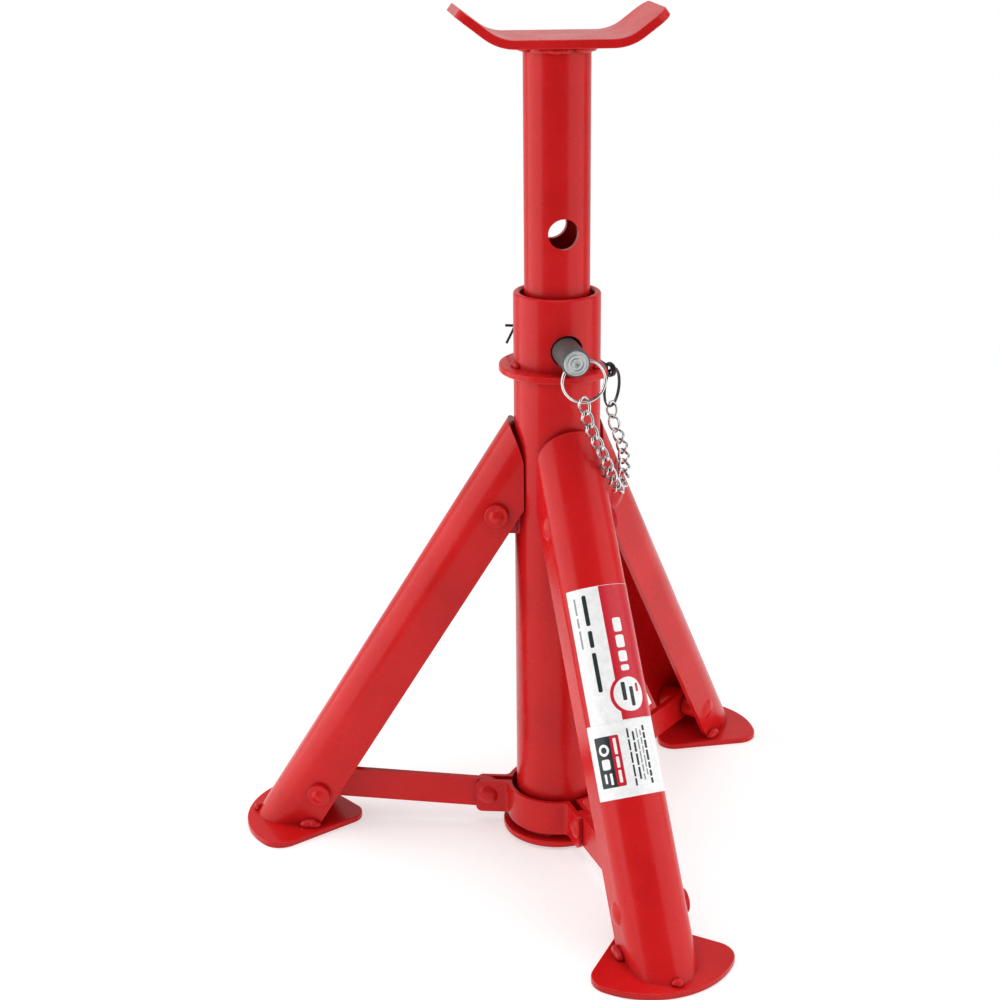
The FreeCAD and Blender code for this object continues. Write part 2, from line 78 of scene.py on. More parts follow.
# ------------------------------------------------------------------ camera, stage and lights
TH = math.radians(20.11)
PITCH = math.radians(19.9)
D_CAM, H_CAM, F_PX = 0.7574, 0.43812, 1798.5
cam_data = bpy.data.cameras.new("camera")
cam_data.sensor_width = 36.0
cam_data.lens = F_PX * 36.0 / 1000.0
cam_data.shift_x = -0.05706
cam_data.clip_start = 0.01
cam_data.clip_end = 50.0
cam = bpy.data.objects.new("camera", cam_data)
cam.location = (-D_CAM * math.sin(TH), -D_CAM * math.cos(TH), H_CAM)
cam.rotation_euler = (math.radians(90.0) - PITCH, 0.0, -TH)
scene.collection.objects.link(cam)
scene.camera = cam

WORLD_DIFFUSE, WORLD_GLOSSY, WORLD_BACK = 0.42, 0.07, 0.64
scene.view_settings.view_transform = "Standard"
scene.view_settings.look = "None"
scene.view_settings.exposure = 0.0
scene.view_settings.gamma = 1.0

world = bpy.data.worlds.new("studio")
scene.world = world
world.use_nodes = True
wt = world.node_tree
wbg = wt.nodes["Background"]
wbg.inputs["Color"].default_value = (1.0, 1.0, 1.0, 1.0)
# white behind the object, a softer sky for its light, a dim one for its reflections
wpath = wt.nodes.new("ShaderNodeLightPath")
wlight = wt.nodes.new("ShaderNodeMix")
wlight.inputs[2].default_value = WORLD_DIFFUSE
wdir = wt.nodes.new("ShaderNodeTexCoord")
wdot = wt.nodes.new("ShaderNodeVectorMath")
wdot.operation = "DOT_PRODUCT"
wdot.inputs[1].default_value = (math.sin(TH), math.cos(TH), 0.0)
wt.links.new(wdir.outputs["Generated"], wdot.inputs[0])
wback = wt.nodes.new("ShaderNodeMapRange")
wback.interpolation_type = "SMOOTHSTEP"
wback.inputs["From Min"].default_value = 0.15
wback.inputs["From Max"].default_value = 0.90
wback.inputs["To Min"].default_value = WORLD_GLOSSY
wback.inputs["To Max"].default_value = WORLD_BACK
wt.links.new(wdot.outputs["Value"], wback.inputs["Value"])
wt.links.new(wback.outputs["Result"], wlight.inputs[3])
wt.links.new(wpath.outputs["Is Glossy Ray"], wlight.inputs[0])
wcam = wt.nodes.new("ShaderNodeMix")
wcam.inputs[3].default_value = 1.0
wt.links.new(wpath.outputs["Is Camera Ray"], wcam.inputs[0])
wt.links.new(wlight.outputs[0], wcam.inputs[2])
wt.links.new(wcam.outputs[0], wbg.inputs["Strength"])


def area(name, loc, target, sx, sy, radiance, color=(1, 1, 1)):
    d = bpy.data.lights.new(name, "AREA")
    d.shape = "RECTANGLE"
    d.size, d.size_y = sx, sy
    d.energy = radiance * math.pi * sx * sy
    d.color = color
    o = bpy.data.objects.new(name, d)
    o.location = loc
    o.rotation_euler = (V(target) - V(loc)).to_track_quat("-Z", "Y").to_euler()
    scene.collection.objects.link(o)
    return o


def cam_side(right, toward, up):
    """Point given to the right of, towards and above the object, as the camera sees it."""
    r = V((math.cos(TH), -math.sin(TH), 0))
    t = V((-math.sin(TH), -math.cos(TH), 0))
    return r * right + t * toward + V((0, 0, up))


area("left_panel", cam_side(-0.95, 0.12, 0.27), cam_side(0.0, 0.12, 0.27), 1.25, 1.45, 1.80)
area("right_panel", cam_side(0.95, 0.42, 0.27), cam_side(0.0, 0.30, 0.27), 1.35, 1.45, 1.32)
area("top_panel", (0.0, 0.0, 1.7), (0.0, 0.0, 0.0), 1.2, 1.2, 2.6)


# ------------------------------------------------------------------ node helpers
class Mat:
    def __init__(self, name):
        self.m = bpy.data.materials.new(name)
        self.m.use_nodes = True
        self.t = self.m.node_tree
        self.t.nodes.clear()
        self.out = self.t.nodes.new("ShaderNodeOutputMaterial")
        self.bsdf = self.t.nodes.new("ShaderNodeBsdfPrincipled")
        self.link(self.bsdf.outputs[0], self.out.inputs[0])
        self.coord = self.t.nodes.new("ShaderNodeTexCoord").outputs["Object"]

    def link(self, a, b):
        self.t.links.new(a, b)

    def set(self, **kw):
        for k, v in kw.items():
            self.bsdf.inputs[k.replace("_", " ")].default_value = v

    def noise(self, scale, detail=3.0, rough=0.5, stretch=None, dist=0.0):
        n = self.t.nodes.new("ShaderNodeTexNoise")
        n.inputs["Scale"].default_value = scale
        n.inputs["Detail"].default_value = detail
        n.inputs["Roughness"].default_value = rough
        n.inputs["Distortion"].default_value = dist
        if stretch:
            mp = self.t.nodes.new("ShaderNodeMapping")
            mp.inputs["Scale"].default_value = stretch
            self.link(self.coord, mp.inputs["Vector"])
            self.link(mp.outputs[0], n.inputs["Vector"])
        else:
            self.link(self.coord, n.inputs["Vector"])
        return n.outputs["Fac"]

    def voronoi(self, scale, out="Distance"):
        n = self.t.nodes.new("ShaderNodeTexVoronoi")
        n.inputs["Scale"].default_value = scale
        self.link(self.coord, n.inputs["Vector"])
        return n.outputs[out]

    def ramp(self, fac, stops):
        r = self.t.nodes.new("ShaderNodeValToRGB")
        el = r.color_ramp.elements
        while len(el) < len(stops):
            el.new(0.5)
        for e, (p, c) in zip(el, stops):
            e.position = p
            e.color = c if len(c) == 4 else (*c, 1.0)
        self.link(fac, r.inputs["Fac"])
        return r.outputs["Color"]

    def remap(self, fac, a, b, lo, hi):
        n = self.t.nodes.new("ShaderNodeMapRange")
        n.inputs["From Min"].default_value = a
        n.inputs["From Max"].default_value = b
        n.inputs["To Min"].default_value = lo
        n.inputs["To Max"].default_value = hi
        self.link(fac, n.inputs["Value"])
        return n.outputs["Result"]

    def math(self, op, a, b=None):
        n = self.t.nodes.new("ShaderNodeMath")
        n.operation = op
        for i, x in enumerate((a, b)):
            if x is None:
                continue
            if isinstance(x, (int, float)):
                n.inputs[i].default_value = x
            else:
                self.link(x, n.inputs[i])
        return n.outputs[0]

    def mix(self, fac, a, b, kind="MIX"):
        n = self.t.nodes.new("ShaderNodeMix")
        n.data_type = "RGBA"
        n.blend_type = kind
        if isinstance(fac, (int, float)):
            n.inputs[0].default_value = fac
        else:
            self.link(fac, n.inputs[0])
        for i, x in ((6, a), (7, b)):
            if isinstance(x, tuple):
                n.inputs[i].default_value = x if len(x) == 4 else (*x, 1.0)
            else:
                self.link(x, n.inputs[i])
        return n.outputs[2]

    def bump(self, height, strength, distance, normal=None):
        n = self.t.nodes.new("ShaderNodeBump")
        n.inputs["Strength"].default_value = strength
        n.inputs["Distance"].default_value = distance
        self.link(height, n.inputs["Height"])
        if normal is not None:
            self.link(normal, n.inputs["Normal"])
        return n.outputs["Normal"]

    def edge(self, radius):
        """1 along sharp edges, 0 on flat and gently curved faces."""
        b = self.t.nodes.new("ShaderNodeBevel")
        b.samples = 4
        b.inputs["Radius"].default_value = radius
        g = self.t.nodes.new("ShaderNodeNewGeometry")
        d = self.t.nodes.new("ShaderNodeVectorMath")
        d.operation = "DOT_PRODUCT"
        self.link(b.outputs["Normal"], d.inputs[0])
        self.link(g.outputs["Normal"], d.inputs[1])
        return self.remap(d.outputs["Value"], 0.995, 0.90, 0.0, 1.0)

    # ambient-occlusion mask, used to paint shade into crevices and tight corners
    def painted_crevice_shade(self, distance):
        a = self.t.nodes.new("ShaderNodeAmbientOcclusion")
        a.samples = 8
        a.only_local = False
        a.inputs["Distance"].default_value = distance
        return a.outputs["AO"]


def red_enamel(name, base=(0.628, 0.0090, 0.0105), edge_highlight=0.30):
    m = Mat(name)
    big = m.noise(22.0, 3.0, 0.55)
    fine = m.noise(260.0, 4.0, 0.6)
    dark = tuple(c * 0.86 for c in base)
    light = (min(1, base[0] * 1.07), base[1] * 1.5, base[2] * 1.5)
    col = m.ramp(big, [(0.30, dark), (0.52, base), (0.75, light)])
    col = m.mix(m.remap(fine, 0.35, 0.75, 0.0, 0.10), col, (0.36, 0.006, 0.008))
    # painted shade: the enamel turns a deeper red where the ambient-occlusion mask finds crevices
    ao = m.painted_crevice_shade(0.006)
    col = m.mix(m.remap(ao, 0.35, 0.9, 0.55, 0.0), col, (0.20, 0.003, 0.004))
    # painted highlight: sharp edges are lightened to a brighter red, broken up by noise
    e = m.math("MULTIPLY", m.edge(0.0007), m.remap(m.noise(90.0, 4.0, 0.7), 0.42, 0.62, 0.0, edge_highlight))
    col = m.mix(e, col, (0.80, 0.075, 0.06))
    m.link(col, m.bsdf.inputs["Base Color"])
    r = m.remap(m.noise(70.0, 4.0, 0.6), 0.3, 0.7, 0.20, 0.31)
    m.link(r, m.bsdf.inputs["Roughness"])
    m.set(Metallic=0.0, Coat_Weight=0.05, Coat_Roughness=0.07, Specular_IOR_Level=0.215)
    peel = m.noise(430.0, 2.0, 0.5)
    wave = m.noise(60.0, 2.0, 0.5)
    n1 = m.bump(wave, 0.08, 0.00015)
    m.link(m.bump(peel, 0.10, 0.00005, n1), m.bsdf.inputs["Normal"])
    return m.m


def zinc(name, base=(0.66, 0.67, 0.69), rough=(0.20, 0.38), scratch=True):
    m = Mat(name)
    n = m.noise(140.0, 5.0, 0.65)
    cool = (base[0] * 0.72, base[1] * 0.75, base[2] * 0.80)
    col = m.ramp(n, [(0.30, cool), (0.55, base), (0.8, tuple(min(1, c * 1.15) for c in base))])
    # painted shade: the plating goes near black where the ambient-occlusion mask finds crevices
    ao = m.painted_crevice_shade(0.003)
    col = m.mix(m.remap(ao, 0.3, 0.9, 0.65, 0.0), col, (0.10, 0.10, 0.11))
    m.link(col, m.bsdf.inputs["Base Color"])
    m.link(m.remap(m.noise(320.0, 4.0, 0.6), 0.3, 0.7, rough[0], rough[1]), m.bsdf.inputs["Roughness"])
    m.set(Metallic=1.0)
    m.link(m.bump(m.noise(900.0, 3.0, 0.6), 0.25, 0.00004), m.bsdf.inputs["Normal"])
    return m.m


def dark_steel(name):
    m = Mat(name)
    n = m.noise(170.0, 5.0, 0.6)
    col = m.ramp(n, [(0.3, (0.018, 0.018, 0.020)), (0.6, (0.055, 0.055, 0.06)), (0.85, (0.12, 0.12, 0.125))])
    # painted highlight: a lighter grey laid along every sharp edge
    e = m.math("MULTIPLY", m.edge(0.0003), 0.5)
    col = m.mix(e, col, (0.35, 0.35, 0.36))
    m.link(col, m.bsdf.inputs["Base Color"])
    m.link(m.remap(m.noise(240.0, 4.0, 0.6), 0.3, 0.7, 0.22, 0.42), m.bsdf.inputs["Roughness"])
    m.set(Metallic=0.85)
    m.link(m.bump(m.noise(700.0, 3.0, 0.6), 0.3, 0.00004), m.bsdf.inputs["Normal"])
    return m.m


def printed(name, base, gloss=(0.26, 0.36)):
    """Printed film: even ink, faint mottling, small scuffs."""
    m = Mat(name)
    n = m.noise(420.0, 3.0, 0.6)
    lo = tuple(max(0.0, c * 0.93) for c in base)
    hi = tuple(min(1.0, c * 1.04) for c in base)
    col = m.ramp(n, [(0.35, lo), (0.65, hi)])
    scuff = m.noise(60.0, 6.0, 0.75, stretch=(1.0, 1.0, 6.0))
    col = m.mix(m.remap(scuff, 0.70, 0.84, 0.0, 0.12), col, (0.60, 0.56, 0.55))
    m.link(col, m.bsdf.inputs["Base Color"])
    m.link(m.remap(m.noise(150.0, 3.0, 0.5), 0.3, 0.7, gloss[0], gloss[1]), m.bsdf.inputs["Roughness"])
    m.set(Specular_IOR_Level=0.4)
    m.link(m.bump(m.noise(300.0, 2.0, 0.5), 0.12, 0.00004), m.bsdf.inputs["Normal"])
    return m.m


def floor_mat():
    m = Mat("floor_pale")
    col = m.ramp(m.noise(3.0, 3.0, 0.5), [(0.3, (0.60, 0.60, 0.60)), (0.7, (0.63, 0.63, 0.63))])
    m.link(col, m.bsdf.inputs["Base Color"])
    m.set(Roughness=0.8, Specular_IOR_Level=0.1)
    m.bsdf.inputs["Emission Color"].default_value = (1.0, 1.0, 1.0, 1.0)
    m.bsdf.inputs["Emission Strength"].default_value = 0.49
    return m.m


RED = red_enamel("red_enamel")
RED_WELD = red_enamel("red_enamel_weld", base=(0.61, 0.0125, 0.0145), edge_highlight=0.2)
ZINC = zinc("zinc_plate")
NICKEL = zinc("nickel_bright", base=(0.78, 0.78, 0.77), rough=(0.10, 0.22))
PIN_GREY = zinc("pin_side", base=(0.105, 0.112, 0.112), rough=(0.48, 0.62))
PIN_GREY.node_tree.nodes["Principled BSDF"].inputs["Metallic"].default_value = 0.35
PIN_FACE = zinc("pin_face", base=(0.60, 0.62, 0.61), rough=(0.34, 0.50))
PIN_FACE.node_tree.nodes["Principled BSDF"].inputs["Metallic"].default_value = 0.55
DARK = dark_steel("black_steel")
INK_WHITE = printed("film_white", (0.93, 0.93, 0.93))
INK_RED = printed("film_red", (0.62, 0.012, 0.030))
INK_DARK = printed("film_dark", (0.020, 0.030, 0.032))
INK_GREY = printed("film_grey", (0.30, 0.32, 0.32))

# ------------------------------------------------------------------ mesh helpers


def obj_from(name, verts, faces, mat, smooth=True):
    me = bpy.data.meshes.new(name)
    me.from_pydata([tuple(v) for v in verts], [], faces)
    me.validate()
    bm = bmesh.new()
    bm.from_mesh(me)
    bmesh.ops.recalc_face_normals(bm, faces=bm.faces)
    bm.to_mesh(me)
    bm.free()
    if smooth:
        me.polygons.foreach_set("use_smooth", [True] * len(me.polygons))
    me.materials.append(mat)
    o = bpy.data.objects.new(name, me)
    scene.collection.objects.link(o)
    return o


def sweep(name, pts, radius, mat, closed=False, seg=14, shape=None):
    """Round bar along points; radius a number or a function of the fraction along; shape gives (x, y) scale."""
    n = len(pts)
    pts = [V(p) for p in pts]
    tans = []
    for i in range(n):
        a = pts[(i - 1) % n] if (closed or i > 0) else pts[0]
        b = pts[(i + 1) % n] if (closed or i < n - 1) else pts[-1]
        tans.append((b - a).normalized())
    up = V((0, 0, 1)) if abs(tans[0].z) < 0.9 else V((1, 0, 0))
    nrm = (up - tans[0] * up.dot(tans[0])).normalized()
    frames = []
    for i in range(n):
        nrm = (nrm - tans[i] * nrm.dot(tans[i])).normalized()
        frames.append((nrm.copy(), tans[i].cross(nrm)))
    twist = 0.0
    if closed:
        last = (frames[-1][0] - tans[0] * frames[-1][0].dot(tans[0])).normalized()
        twist = math.atan2(last.cross(frames[0][0]).dot(tans[0]), last.dot(frames[0][0]))
    verts, faces = [], []
    for i in range(n):
        f = i / (n - 1 if not closed else n)
        r = radius(f) if callable(radius) else radius
        sx, sy = shape if shape else (1.0, 1.0)
        for k in range(seg):
            a = 2 * math.pi * k / seg + twist * f
            verts.append(pts[i] + frames[i][0] * (r * sx * math.cos(a)) + frames[i][1] * (r * sy * math.sin(a)))
    rings = n if closed else n - 1
    for i in range(rings):
        j = (i + 1) % n
        for k in range(seg):
            l = (k + 1) % seg
            faces.append((i * seg + k, i * seg + l, j * seg + l, j * seg + k))
    if not closed:
        for i, s in ((0, -1), (n - 1, 1)):
            r = radius(0.0 if i == 0 else 1.0) if callable(radius) else radius
            c = len(verts)
            verts.append(pts[i] + tans[i] * (s * r * 0.35))
            for k in range(seg):
                l = (k + 1) % seg
                faces.append((c, i * seg + l, i * seg + k) if s < 0 else (c, i * seg + k, i * seg + l))
    return obj_from(name, verts, faces, mat)


def join(name, objs):
    bpy.ops.object.select_all(action="DESELECT")
    for o in objs:
        o.select_set(True)
    bpy.context.view_layer.objects.active = objs[0]
    bpy.ops.object.join()
    objs[0].name = name
    objs[0].data.name = name
    return objs[0]


def lathe(name, profile, origin, axis, mat, seg=48):
    """Surface of revolution: profile of (radius, height) from pole to pole, in mm."""
    axis = V(axis).normalized()
    x = V((0, 0, 1)).cross(axis)
    if x.length < 1e-6:
        x = V((1, 0, 0))
    x.normalize()
    y = axis.cross(x)
    verts, faces, rows = [], [], []
    for r, h in profile:
        if r < 1e-6:
            rows.append([len(verts)])
            verts.append(V(origin) + axis * (h * MM))
        else:
            row = []
            for k in range(seg):
                a = 2 * math.pi * k / seg
                row.append(len(verts))
                verts.append(V(origin) + (x * math.cos(a) + y * math.sin(a)) * (r * MM) + axis * (h * MM))
            rows.append(row)
    for a, b in zip(rows, rows[1:]):
        if len(a) == 1 and len(b) == 1:
            continue
        if len(a) == 1:
            faces += [(a[0], b[k], b[(k + 1) % seg]) for k in range(seg)]
        elif len(b) == 1:
            faces += [(a[k], a[(k + 1) % seg], b[0]) for k in range(seg)]
        else:
            faces += [(a[k], a[(k + 1) % seg], b[(k + 1) % seg], b[k]) for k in range(seg)]
    return obj_from(name, verts, faces, mat)


def bead(name, pts, r, seed, ripple=1.5, squash=0.75, body=None, mat=None):
    """A weld bead: a ripple-backed, slightly uneven rope of metal along points (metres)."""
    pts = [V(p) for p in pts]
    L = [0.0]
    for a, b in zip(pts, pts[1:]):
        L.append(L[-1] + (b - a).length)
    n = max(12, int(L[-1] / 0.00035))
    res = []
    for i in range(n):
        t = L[-1] * i / (n - 1)
        k = max(j for j in range(len(L)) if L[j] <= t + 1e-12)
        k = min(k, len(pts) - 2)
        f = (t - L[k]) / max(1e-9, L[k + 1] - L[k])
        res.append(pts[k].lerp(pts[k + 1], f))
    total = L[-1]

    def rad(f):
        t = f * total * 1000
        end = min(1.0, math.sqrt(max(0.02, min(f, 1 - f) * total / (r * 1.3))))
        w = 1.0 + 0.10 * abs(math.sin(math.pi * t / ripple)) + 0.16 * noise.noise(V((t * 0.35, seed * 7.3, 0.0)))
        return r * w * end
    jit = []
    for i, p in enumerate(res):
        t = i * total * 1000 / (n - 1)
        q = V((noise.noise(V((t * 0.3, seed, 1.0))), noise.noise(V((t * 0.3, seed, 5.0))), noise.noise(V((t * 0.3, seed, 9.0)))))
        jit.append(p + q * (r * 0.22))
    o = sweep(name, jit, rad, mat or RED_WELD, seg=16)
    if body:
        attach(o, body)
    return o


# ------------------------------------------------------------------ materials on the CAD nodes
def give(node, mat):
    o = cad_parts[node]
    o.data.materials.clear()
    o.data.materials.append(mat)


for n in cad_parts:
    give(n, RED)
give("lock_pin", PIN_GREY)
for n in ("pin_ring", "tether_chain"):
    give(n, NICKEL)
for n in ("retaining_clip", "clip_ring"):
    give(n, DARK)
give("info_label", INK_WHITE)

# softened sheet edges on the plates and channels
for n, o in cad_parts.items():
    if n.startswith(("leg_channel", "link_bar", "collar_strap", "hinge_bracket")):
        mod = o.modifiers.new("edge", "BEVEL")
        mod.width = 0.00035
        mod.segments = 2
        mod.limit_method = "ANGLE"
        mod.angle_limit = math.radians(50)
        mod.harden_normals = True

# ------------------------------------------------------------------ label
LAB_R0 = 14.5


def on_label(u, s, h):
    a = s / (LAB_R0 + 0.1)
    R = LAB_R0 + h
    return uvw(u, CH_C + R * math.cos(a), R * math.sin(a))


def patch(name, poly, h0, h1, mat, holes=()):
    """Thin film of the outline poly, in (down the leg, round the leg) mm, wrapped on the channel's back."""
    bm = bmesh.new()
    vs = [bm.verts.new((u, s, 0)) for u, s in poly]
    es = [bm.edges.new((vs[i], vs[(i + 1) % len(vs)])) for i in range(len(vs))]
    for hole in holes:
        hv = [bm.verts.new((u, s, 0)) for u, s in hole]
        es += [bm.edges.new((hv[i], hv[(i + 1) % len(hv)])) for i in range(len(hv))]
    bmesh.ops.triangle_fill(bm, edges=es, use_beauty=True)
    lo = min(s for _, s in poly)
    hi = max(s for _, s in poly)
    k = math.floor(lo / 1.2) + 1
    while k * 1.2 < hi - 1e-6:
        bmesh.ops.bisect_plane(bm, geom=bm.verts[:] + bm.edges[:] + bm.faces[:], plane_co=(0, k * 1.2, 0), plane_no=(0, 1, 0), dist=1e-5)
        k += 1
    bm.verts.ensure_lookup_table()
    n = len(bm.verts)
    flat = [v.co.copy() for v in bm.verts]
    idx = {v: i for i, v in enumerate(bm.verts)}
    tris = [[idx[v] for v in f.verts] for f in bm.faces]
    rim = [(idx[e.verts[0]], idx[e.verts[1]]) for e in bm.edges if len(e.link_faces) == 1]
    bm.free()
    verts = [on_label(p.x, p.y, h1) for p in flat] + [on_label(p.x, p.y, h0) for p in flat]
    faces = [tuple(t) for t in tris] + [tuple(n + i for i in reversed(t)) for t in tris]
    faces += [(a, b, n + b, n + a) for a, b in rim]
    o = obj_from(name, verts, faces, mat, smooth=False)
    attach(o, "leg_front")
    return o


def rrect(u0, u1, s0, s1, r, n=5):
    out = []
    for cu, cs, a0 in ((u1 - r, s1 - r, 0), (u0 + r, s1 - r, 90), (u0 + r, s0 + r, 180), (u1 - r, s0 + r, 270)):
        for i in range(n + 1):
            a = math.radians(a0 + 90 * i / n)
            out.append((cu + r * math.cos(a), cs + r * math.sin(a)))
    return out


def disc(u, s, r, n=40):
    return [(u + r * math.cos(2 * math.pi * i / n), s + r * math.sin(2 * math.pi * i / n)) for i in range(n)]


S1_END = 18.8
base1 = patch("label_upper_film", rrect(30.2, 87.75, -18.0, S1_END, 0.5), 0.0, 0.13, INK_WHITE)
base2 = patch("label_lower_film", rrect(87.8, 119.3, -21.4, 16.0, 0.5), 0.0, 0.13, INK_WHITE)
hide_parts("info_label")
H1, H2, H3, H4 = 0.13, 0.15, 0.17, 0.19
# red field with a round lobe that carries the blank disc
field = rrect(30.35, 87.5, -2.6, S1_END - 0.15, 0.3)
patch("label_red_field", field, H1, H2, INK_RED)
patch("label_red_lobe", disc(77.2, 2.6, 8.5), H1, H2 + 0.005, INK_RED)
patch("label_disc", disc(77.2, 2.8, 7.2), H2, H3 + 0.005, INK_WHITE)
patch("label_mark_bar_a", rrect(71.9, 79.6, -0.6, 1.2, 0.5), H3, H4, INK_DARK)
patch("label_mark_bar_b", rrect(74.2, 82.4, 2.9, 4.7, 0.5), H3, H4, INK_DARK)
patch("label_mark_bar_c", rrect(73.0, 76.6, 6.2, 7.6, 0.4), H3, H4, INK_RED)
# plain bars where a label carries its lines of print
for i, (a, b) in enumerate(((44.6, 50.6), (52.0, 57.4), (58.8, 63.4), (64.8, 67.2))):
    patch("label_white_bar_%d" % i, rrect(a, b, 0.9, 4.9, 0.9), H2, H3, INK_WHITE)
for i, (a, b) in enumerate(((33.2, 46.2), (48.4, 55.6), (57.8, 74.6))):
    patch("label_dark_bar_%d" % i, rrect(a, b, -10.4, -8.5, 0.7), H1, H2, INK_DARK)
for i, (a, b) in enumerate(((33.8, 41.0), (42.2, 46.4), (47.6, 55.4))):
    patch("label_fine_bar_%d" % i, rrect(a, b, -14.5, -13.6, 0.3), H1, H2, INK_GREY)
for i, (s, a, b, w, mt) in enumerate(((6.0, 90.9, 115.2, 0.62, INK_DARK), (4.2, 92.6, 111.5, 0.34, INK_GREY), (2.5, 91.8, 113.4, 0.34, INK_GREY),
                                      (0.7, 92.8, 113.6, 0.45, INK_DARK), (-1.6, 91.2, 115.8, 0.38, INK_DARK))):
    rr = random.Random(31 + i)
    u = a
    k = 0
    while u < b - 1.2:
        e = min(b, u + rr.uniform(2.2, 5.4))
        patch("label_line_%d_%d" % (i, k), rrect(u, e, s - w, s + w, w * 0.45, 2), H1, H2, mt)
        u = e + 0.7
        k += 1
panel = patch("label_panel", rrect(93.0, 114.3, -17.2, -5.7, 0.7), H1, H2, INK_DARK)
patch("label_panel_strip", rrect(93.15, 114.15, -9.6, -5.75, 0.5), H2, H3, INK_RED)
for i, (a, b) in enumerate(((94.2, 101.0), (102.0, 106.6), (107.6, 112.8))):
    patch("label_strip_bar_%d" % i, rrect(a, b, -8.3, -7.0, 0.3, 2), H3, H4, INK_WHITE)
patch("label_icon_ring", disc(98.6, -13.1, 2.5, 28), H2, H3, INK_WHITE, holes=(list(reversed(disc(98.6, -13.1, 1.35, 20))),))
patch("label_icon_block", rrect(102.4, 106.8, -15.2, -11.2, 0.9), H2, H3, INK_WHITE)
patch("label_icon_bar_a", rrect(108.4, 113.2, -12.3, -11.1, 0.3, 2), H2, H3, INK_WHITE)
patch("label_icon_bar_b", rrect(108.4, 112.4, -15.0, -13.8, 0.3, 2), H2, H3, INK_WHITE)

# ------------------------------------------------------------------ welds


def arc_pts(R, z, a0, a1, n=40, c=(0.0, 0.0)):
    out = []
    for i in range(n + 1):
        a = math.radians(a0 + (a1 - a0) * i / n)
        out.append(V(((c[0] + R * math.sin(a)) * MM, (c[1] - R * math.cos(a)) * MM, z * MM)))
    return out


# post to saddle: four runs round the post's top
for i, (a0, a1) in enumerate(((-66, 4), (9, 74), (82, 140), (150, 226), (236, 288))):
    bead("weld_saddle_%d" % i, arc_pts(15.0, 361.9, a0, a1), 0.0015, 3 + i, ripple=2.2, body="post")
# upper flange to tube, above and below
for i, (a0, a1) in enumerate(((-100, -78), (35, 52), (150, 190))):
    bead("weld_flange_up_%d" % i, arc_pts(19.5, 228.3, a0, a1, 20), 0.0012, 11 + i, body="column")
for i, (a0, a1) in enumerate(((-60, -30), (20, 60), (170, 215))):
    bead("weld_flange_under_%d" % i, arc_pts(19.4, 224.4, a0, a1, 20), 0.0011, 17 + i, body="column")
# lower flange to tube
for i, (a0, a1) in enumerate(((-75, -25), (40, 85), (150, 215))):
    bead("weld_base_%d" % i, arc_pts(19.5, 4.4, a0, a1, 24), 0.0011, 23 + i, body="column")
# hinge brackets to tube
for n, az in AZ.items():
    for k, w in ((0, -10.4), (1, 10.4)):
        r = math.sqrt(19.0 ** 2 - w * w) + 0.3
        bead("weld_bracket_%s_%d" % (n, k), [lp(r, w, ZH - 9.5, az), lp(r, w, ZH + 9.5, az)], 0.0011, 31 + k + int(az), body="column")
# channels to foot plates: short tacks at the open edges and one behind
for n, az in AZ.items():
    def at_plate(v, w, lift=0.5):
        """Where the channel's outside meets the plate, at that place of its section."""
        z = FOOT_T + lift
        u = (ZH + v * SA - z) / CA
        return uvw(u, v, w, az)
    body = "leg_" + n
    k = 41 + int(az)
    bead("weld_foot_%s_a" % n, [at_plate(v, -15.2, 1.0) for v in (-9.4, -6.5, -3.6, -0.8)], 0.0025, k, ripple=2.4, body=body)
    bead("weld_foot_%s_b" % n, [at_plate(v, 15.2, 1.0) for v in (-9.4, -6.5, -3.6, -0.8)], 0.0025, k + 6, ripple=2.4, body=body)
    th = [math.radians(a) for a in (-11, -4, 3, 10)]
    bead("weld_foot_%s_c" % n, [at_plate(CH_C + 15.2 * math.cos(t), 15.2 * math.sin(t), 0.9) for t in th], 0.0023, k + 12, ripple=2.4, body=body)

# ------------------------------------------------------------------ lock pin's end, rings, chain and clip
D_PIN, T_PIN = pinf(1, 0, 0).normalized(), pinf(0, 1, 0).normalized()
PIN_Z = 237.4
face = lathe("pin_end_face", [(0, -0.55), (0.7, -0.45), (1.2, 0.10), (1.7, 0.34), (2.1, 0.30), (2.45, 0.05), (2.8, 0.04), (3.15, 0.30), (3.6, 0.36), (3.95, 0.10), (4.3, 0.07),
                              (4.65, 0.20), (5.05, 0.16), (5.25, -0.10), (5.30, -0.60), (0, -0.62)], pinf(38.0, 0, PIN_Z), D_PIN, PIN_FACE, 56)
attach(face, "lock_pin")


def split_ring(name, c, axis, R, wire, turns, mat, start=0.0, gap=2.05):
    """Two coils of wire lying against each other, ends tapered into the neighbour."""
    axis = V(axis).normalized()
    x = V((0, 0, 1))
    x = (x - axis * x.dot(axis)).normalized()
    y = axis.cross(x)
    n = int(72 * turns)
    pts = []
    for i in range(n + 1):
        f = i / n
        a = 2 * math.pi * turns * f + start
        h = (f - 0.5) * wire * gap * (turns / 2.0) * 1.0
        pts.append(V(c) + (x * math.cos(a) + y * math.sin(a)) * (R * MM) + axis * (h * MM))
    return sweep(name, pts, lambda f: wire * MM * min(1.0, 0.55 + 9.0 * min(f, 1 - f)), mat, seg=12)


def centre_of(node):
    lo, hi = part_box(node)
    return (V(lo) + V(hi)) / 2


ring_c = pinf(34.0, 4.1, PIN_Z - 8.9)
ring = split_ring("pin_split_ring", ring_c, D_PIN, 9.25, 0.62, 1.92, NICKEL, start=2.4)
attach(ring, "lock_pin")
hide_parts("pin_ring")
ring2_c = V((35.186, 23.309, 206.549)) * MM
R2_AXIS = pinf(0.60, 0.80, 0).normalized()
ring2 = split_ring("clip_split_ring", ring2_c, R2_AXIS, 8.9, 0.48, 1.92, DARK, start=2.6)
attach(ring2, "tether")
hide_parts("clip_ring")

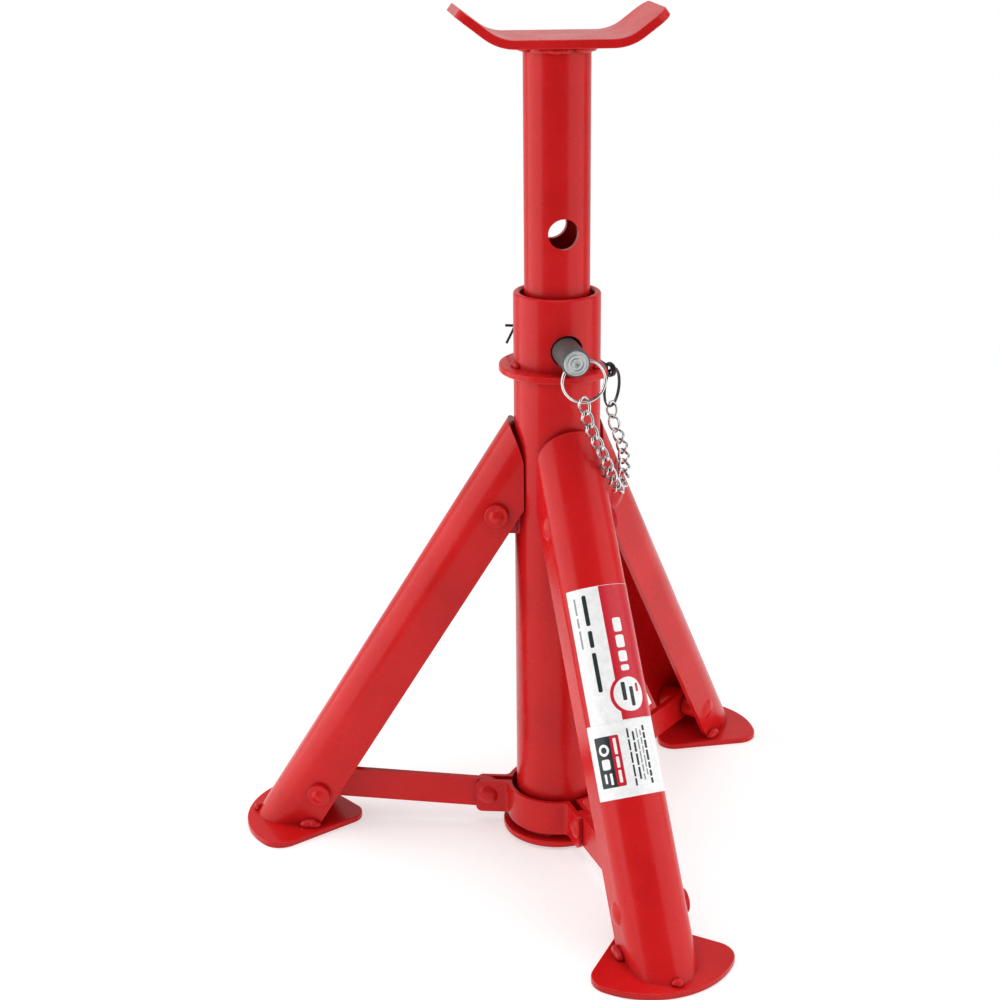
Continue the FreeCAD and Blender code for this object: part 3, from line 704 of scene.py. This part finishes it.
# chain: twisted links set where the chain's own links lie
bm = bmesh.new()
bm.from_mesh(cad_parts["tether_chain"].data)
bmesh.ops.remove_doubles(bm, verts=bm.verts, dist=1e-6)
seen, isles = set(), []
for v0 in bm.verts:
    if v0 in seen:
        continue
    seen.add(v0)
    stack, isle = [v0], []
    while stack:
        q = stack.pop()
        isle.append(q.co.copy())
        for e in q.link_edges:
            o = e.other_vert(q)
            if o not in seen:
                seen.add(o)
                stack.append(o)
    isles.append(isle)
bm.free()


def long_axis(pts):
    c = sum(pts, V((0, 0, 0))) / len(pts)
    lo = V([min(p[i] for p in pts) for i in range(3)])
    hi = V([max(p[i] for p in pts) for i in range(3)])
    c = (lo + hi) / 2
    far = max(pts, key=lambda p: (p - c).length)
    d = (far - c).normalized()
    for _ in range(60):
        w = V((0, 0, 0))
        for p in pts:
            w += (p - c) * (p - c).dot(d)
        d = w.normalized()
    return c, d


links = [long_axis(i) for i in isles]
order, here, left = [], ring_c - V((0, 0, 9.25)) * MM, list(links)
while left:
    k = min(range(len(left)), key=lambda i: (left[i][0] - here).length)
    c, d = left.pop(k)
    if d.dot(c - here) < 0:
        d = -d
    order.append((c, d))
    here = c
N_L = len(order)
# a curb chain lies flat: the links keep one face outwards along the whole run
OUTWARD = V((-math.sin(TH), -math.cos(TH), 0.25)).normalized()
norms = [(OUTWARD - d * OUTWARD.dot(d)).normalized() for c, d in order]
LH, WH, WIRE = 3.95, 2.25, 0.62     # half length and half width of the wire's centre line, wire radius


def link_mesh(name, c, d, n):
    s = n.cross(d)
    pts = []
    for i in range(44):
        a = 2 * math.pi * i / 44
        x = LH * math.copysign(abs(math.cos(a)) ** 0.82, math.cos(a))
        y = WH * math.copysign(abs(math.sin(a)) ** 0.80, math.sin(a))
        tw = math.radians(45) * max(-1.0, min(1.0, x / (LH * 0.80)))
        side = s * math.cos(tw) + n * math.sin(tw)
        pts.append(c + (d * x + side * y) * MM)
    return sweep(name, pts, WIRE * MM, NICKEL, closed=True, seg=10)


chain = []
for i, (c, d) in enumerate(order):
    chain.append(link_mesh("link_%02d" % i, c, d, norms[i]))
chain = join("tether_chain_links", chain)
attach(chain, "tether")
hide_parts("tether_chain")

# ------------------------------------------------------------------ floor
verts, faces = [V((0, 0, -0.0003))], []
N, RINGS = 72, (0.1, 0.2, 0.3, 0.4, 0.5, 0.6)
for r in RINGS:
    verts += [V((r * math.sin(2 * math.pi * k / N), r * math.cos(2 * math.pi * k / N), -0.0003)) for k in range(N)]
faces += [(0, 1 + k, 1 + (k + 1) % N) for k in range(N)]
for i in range(len(RINGS) - 1):
    for k in range(N):
        l = (k + 1) % N
        faces.append((1 + i * N + k, 1 + (i + 1) * N + k, 1 + (i + 1) * N + l, 1 + i * N + l))
floor = obj_from("floor", verts, faces, floor_mat(), smooth=False)
